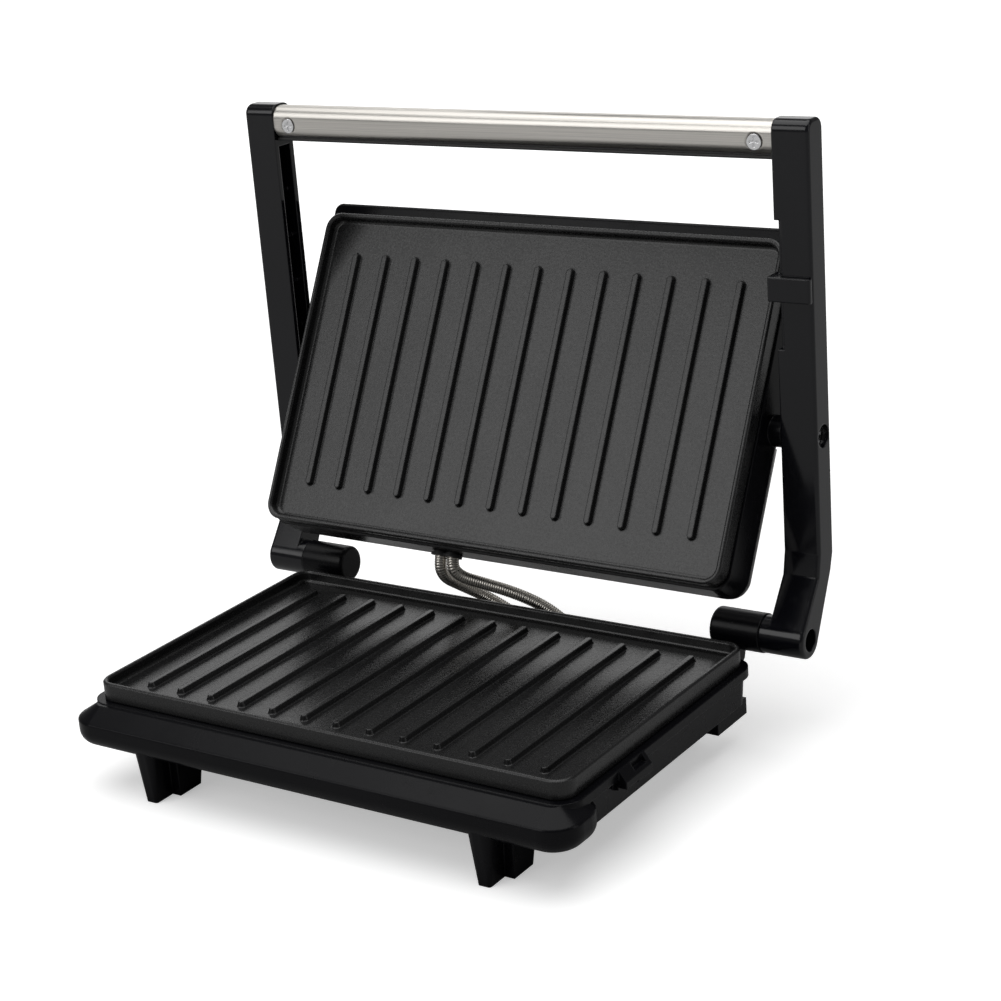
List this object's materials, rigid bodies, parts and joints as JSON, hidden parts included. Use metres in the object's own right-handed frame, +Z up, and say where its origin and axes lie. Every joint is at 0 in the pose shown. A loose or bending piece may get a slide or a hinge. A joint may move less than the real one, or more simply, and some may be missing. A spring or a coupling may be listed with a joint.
{
  "type": "panini press",
  "caption": "Two-plate contact grill, open: ribbed plates on a footed base and a floating lid, hung on two side arms joined by a bar handle.",
  "frame": {"origin": "on the table, under the middle of the open press: half-way across its width and half-way from the front lip to the open lid's back edge", "axes": "+Z up, -Y towards the user at the front, +X to the user's right"},
  "size_m": [0.283, 0.2325, 0.2615],
  "materials": {
    "black_plastic": "satin",
    "inner_plastic": "matte",
    "non_stick_plate": "matte non-stick coating",
    "brushed_aluminium": "brushed",
    "steel": "plain",
    "bright_steel": "bright",
    "spring_steel": "satin",
    "ceramic": "matte",
    "lamp_red": "clear gloss",
    "rubber_black": "matte"
  },
  "bodies": {
    "base": {"base_housing": "black_plastic", "base_bottom_cover": "black_plastic", "lower_grill_plate": "non_stick_plate", "lower_heating_element": "steel", "lower_heat_reflector": "steel", "lower_plate_screws": "bright_steel", "bottom_cover_screws": "bright_steel", "thermostat": "ceramic", "terminal_block": "ceramic", "cord_gland": "rubber_black", "base_lead_bushes": "rubber_black", "hinge_pins": "bright_steel", "left_lead": "spring_steel", "right_lead": "spring_steel"},
    "arms": {"left_arm": "black_plastic", "right_arm": "black_plastic", "handle_core": "inner_plastic", "handle_bar": "brushed_aluminium", "handle_screws": "bright_steel"},
    "catch": {"latch_clip": "black_plastic"},
    "lid": {"lid_housing": "black_plastic", "lid_cover": "steel", "upper_grill_plate": "non_stick_plate", "upper_heating_element": "steel", "upper_heat_reflector": "steel", "upper_plate_screws": "bright_steel", "thermal_fuse": "ceramic", "indicator_lamps": "lamp_red", "lid_lead_bushes": "rubber_black", "lid_pivot_screws": "bright_steel"}
  },
  "joints": [
    {"name": "arm_hinge", "type": "hinge", "parent": "base", "child": "arms", "pos_m": [0, 0.05635, 0.0465], "axis": [1, 0, 0], "range_deg": [0, 84.85], "deforming": ["left_lead", "right_lead"]},
    {"name": "lid_pivot", "type": "hinge", "parent": "arms", "child": "lid", "pos_m": [0, 0.07345, 0.13087], "axis": [1, 0, 0], "range_deg": [0, 34.25]},
    {"name": "clip_slide", "type": "slide", "parent": "arms", "child": "catch", "axis": [0, 0, 1], "range_m": [-0.02, 0.022]}
  ],
  "couplings": [
    {"joint": "lid_pivot", "follows": "arm_hinge", "ratio": 0.4036}
  ]
}
